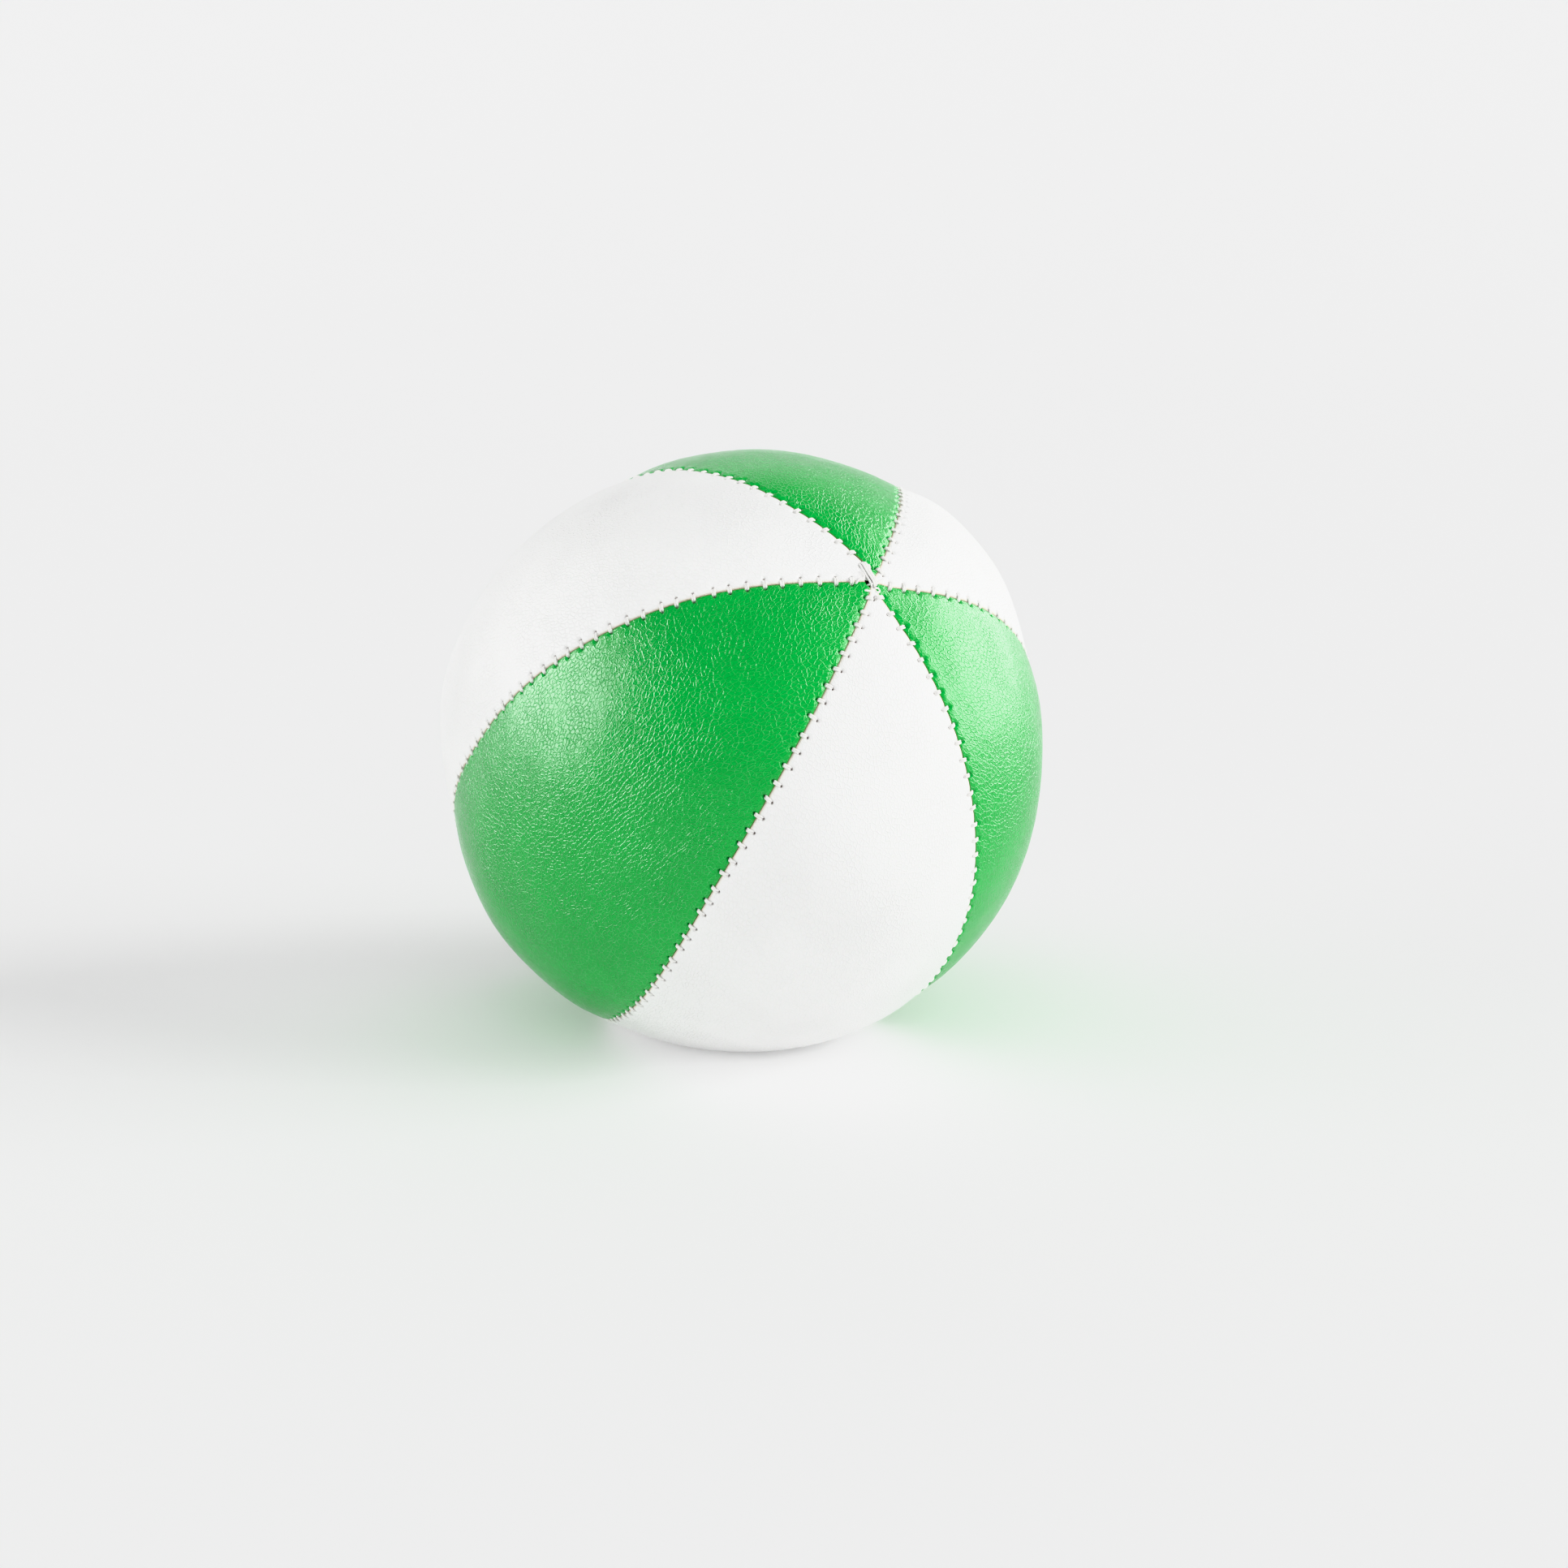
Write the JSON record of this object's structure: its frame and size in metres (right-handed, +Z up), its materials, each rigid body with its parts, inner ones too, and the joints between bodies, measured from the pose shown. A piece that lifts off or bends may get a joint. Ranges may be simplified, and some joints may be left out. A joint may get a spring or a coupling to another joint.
{
  "type": "medicine ball",
  "caption": "Hand-sized weighted ball sewn from alternating green and white leatherette panels over a bag of grain, slumped slightly flat where it rests.",
  "frame": {"origin": "on the surface the ball rests on, straight under its centre", "axes": "+Z up, -Y towards the side whose raised pole faces the viewer, the pole axis leaning 47.3 degrees from +Z on a heading of -58.7 degrees from +X"},
  "size_m": [0.0698, 0.0706, 0.0678],
  "materials": {
    "green_leatherette": "satin, fine pebbled grain",
    "white_leatherette": "satin, fine pebbled grain",
    "seam_thread": "bonded polyester thread",
    "bag_cloth": "unbleached plain-weave cotton",
    "bag_thread": "cotton thread",
    "grain": "hulled seed"
  },
  "bodies": {
    "root": {"green_panel_1": "green_leatherette", "green_panel_2": "green_leatherette", "green_panel_3": "green_leatherette", "white_panel_1": "white_leatherette", "white_panel_2": "white_leatherette", "white_panel_3": "white_leatherette", "seam_1_needle_thread": "seam_thread", "seam_2_needle_thread": "seam_thread", "seam_3_needle_thread": "seam_thread", "seam_4_needle_thread": "seam_thread", "seam_5_needle_thread": "seam_thread", "seam_6_needle_thread": "seam_thread", "seam_1_bobbin_thread": "seam_thread", "seam_2_bobbin_thread": "seam_thread", "seam_3_bobbin_thread": "seam_thread", "seam_4_bobbin_thread": "seam_thread", "seam_5_bobbin_thread": "seam_thread", "seam_6_bobbin_thread": "seam_thread", "front_pole_tack": "seam_thread", "back_pole_tack": "seam_thread", "inner_bag_half_1": "bag_cloth", "inner_bag_half_2": "bag_cloth", "inner_bag_thread": "bag_thread", "grain_fill": "grain"}
  },
  "joints": []
}
